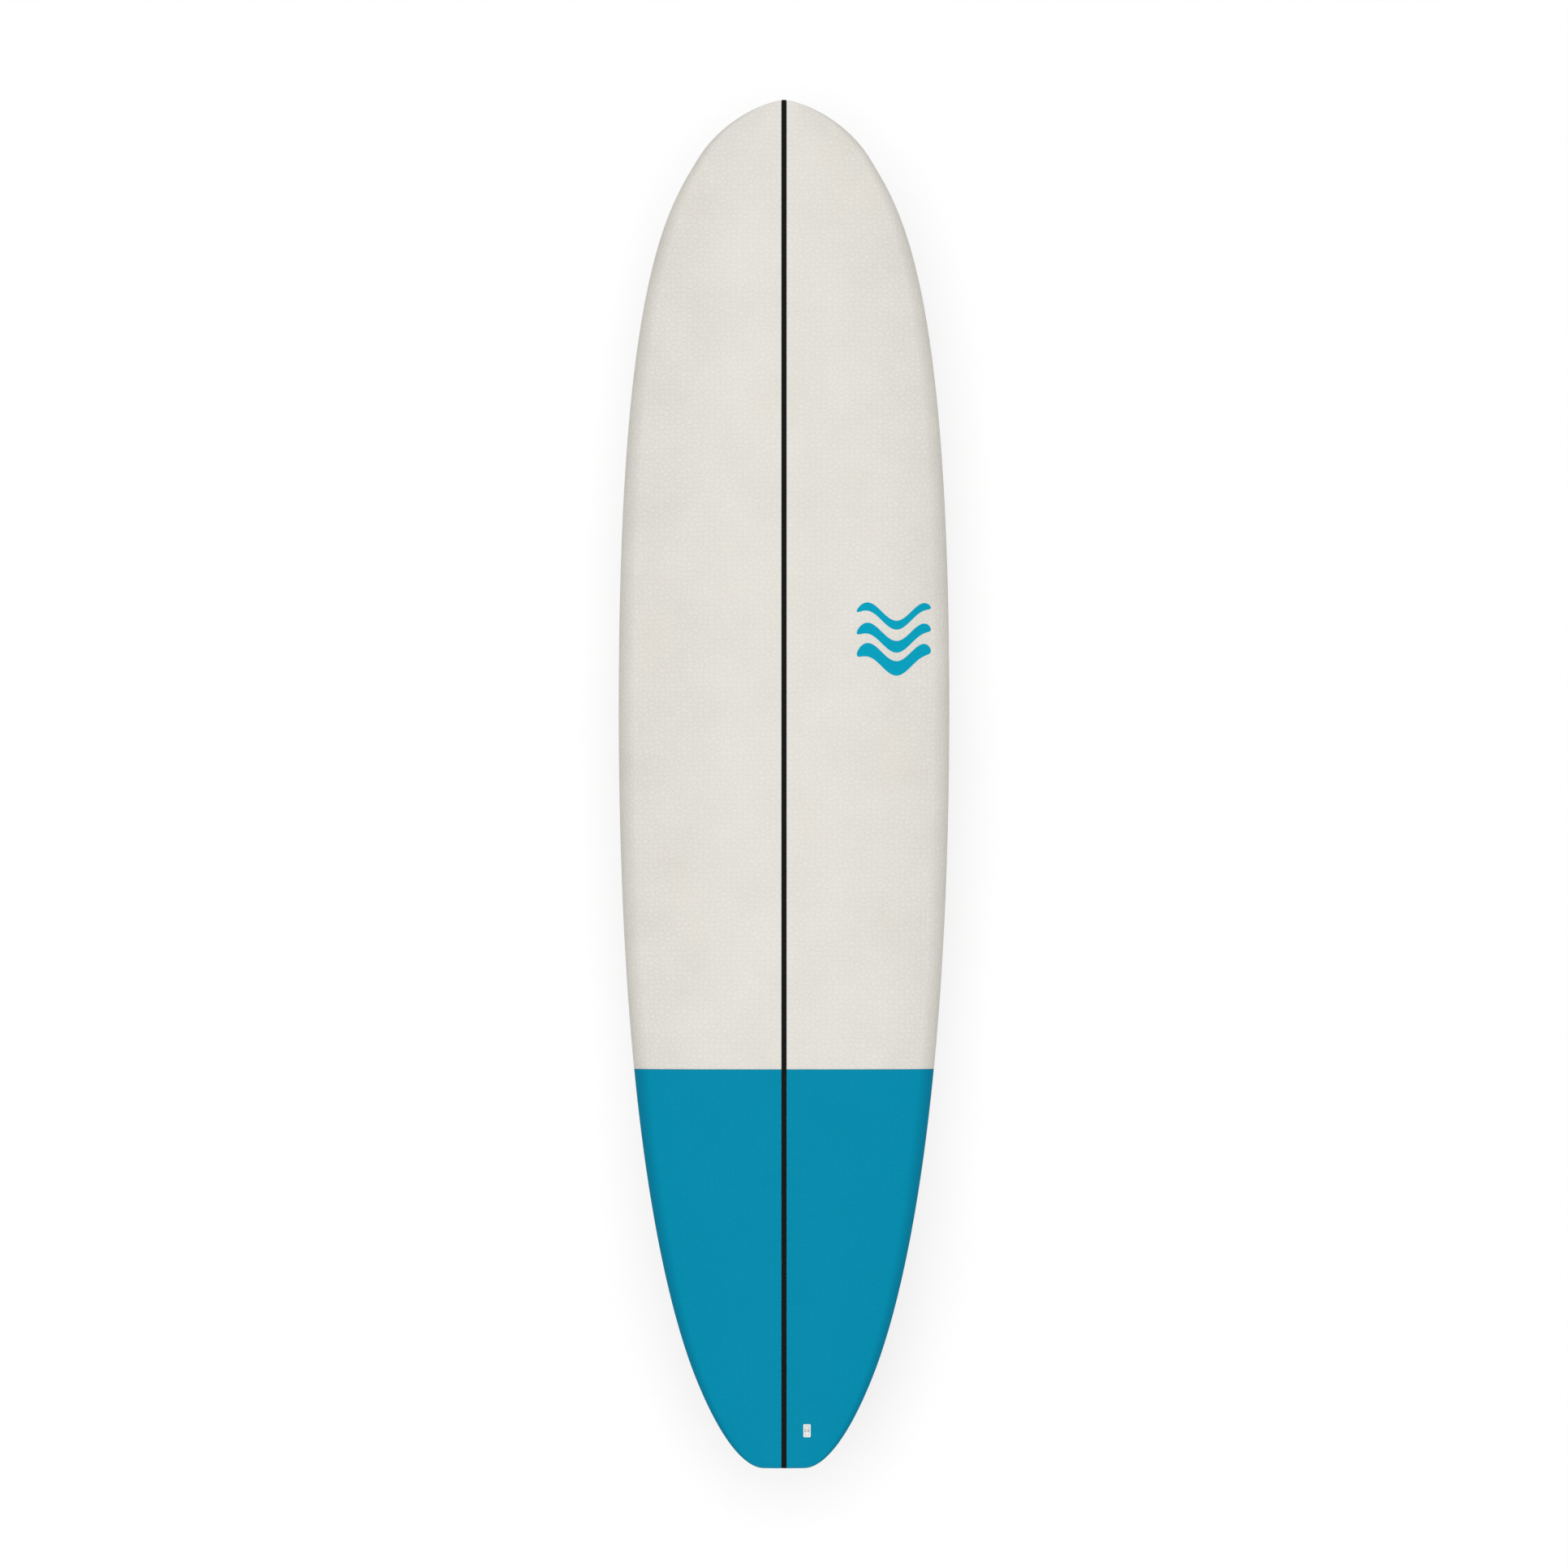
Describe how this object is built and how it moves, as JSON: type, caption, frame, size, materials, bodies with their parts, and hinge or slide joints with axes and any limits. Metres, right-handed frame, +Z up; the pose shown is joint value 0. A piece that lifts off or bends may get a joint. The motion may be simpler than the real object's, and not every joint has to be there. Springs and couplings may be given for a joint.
{
  "type": "surfboard",
  "caption": "Soft-deck longboard surfboard, rounded nose and small squash tail, foam deck with a stripe, slick bottom, adjustable centre fin, side fins and leash plug.",
  "frame": {"origin": "on the flat of the bottom, on the centreline, at half length", "axes": "+Y from tail to nose, +X to the right seen from above the deck, +Z up through the deck"},
  "size_m": [0.591, 2.436, 0.2632],
  "materials": {
    "foam_white": "off-white closed-cell foam skin with an embossed hide grain",
    "foam_blue": "turquoise-blue closed-cell foam skin with an embossed hide grain",
    "foam_black": "black foam inlay strip",
    "slick_white": "white slick sheet, satin",
    "core_foam": "white expanded bead foam",
    "block_foam": "dense tan foam",
    "wood": "light softwood, sanded",
    "box_plastic": "white moulded plastic",
    "plug_plastic": "white moulded plastic",
    "fin_plastic": "black fibre-filled moulded plastic, satin",
    "steel": "stainless steel",
    "brass": "plain brass"
  },
  "bodies": {
    "board": {"bottom_skin": "slick_white", "centre_fin_block": "block_foam", "centre_fin_box": "box_plastic", "core_left": "core_foam", "core_right": "core_foam", "deck_skin_front_left": "foam_white", "deck_skin_front_right": "foam_white", "deck_skin_tail_left": "foam_blue", "deck_skin_tail_right": "foam_blue", "deck_stripe": "foam_black", "leash_bar": "steel", "leash_block": "block_foam", "leash_cup": "plug_plastic", "side_fin_block_left": "block_foam", "side_fin_block_right": "block_foam", "side_fin_box_left": "box_plastic", "side_fin_box_right": "box_plastic", "stringer": "wood"},
    "centre_fin": {"centre_fin": "fin_plastic", "centre_fin_pin": "steel", "centre_fin_plate": "brass"},
    "centre_fin_screw": {"centre_fin_screw": "steel"},
    "side_fin_left": {"side_fin_left": "fin_plastic"},
    "side_fin_right": {"side_fin_right": "fin_plastic"},
    "side_fin_screw_left": {"side_fin_screw_left": "steel"},
    "side_fin_screw_right": {"side_fin_screw_right": "steel"}
  },
  "joints": [
    {"name": "centre_fin_slide", "type": "slide", "parent": "board", "child": "centre_fin", "axis": [0, 0.9957, -0.0921], "range_m": [-0.047, 0.031]},
    {"name": "centre_fin_screw_turn", "type": "hinge", "parent": "centre_fin", "child": "centre_fin_screw", "pos_m": [0, -0.90677, 0.0307], "axis": [0, -0.0921, -0.9957], "range_deg": [0, 720]},
    {"name": "side_fin_left_pull", "type": "slide", "parent": "board", "child": "side_fin_left", "axis": [-0.1189, -0.0898, -0.9888], "range_m": [0, 0.015]},
    {"name": "side_fin_right_pull", "type": "slide", "parent": "board", "child": "side_fin_right", "axis": [0.1189, -0.0898, -0.9888], "range_m": [0, 0.015]},
    {"name": "side_fin_screw_left_turn", "type": "hinge", "parent": "board", "child": "side_fin_screw_left", "pos_m": [-0.17524, -0.78951, 0.02528], "axis": [-0.1189, -0.0898, -0.9888], "range_deg": [0, 720]},
    {"name": "side_fin_screw_right_turn", "type": "hinge", "parent": "board", "child": "side_fin_screw_right", "pos_m": [0.17524, -0.78951, 0.02528], "axis": [0.1189, -0.0898, -0.9888], "range_deg": [0, 720]}
  ]
}
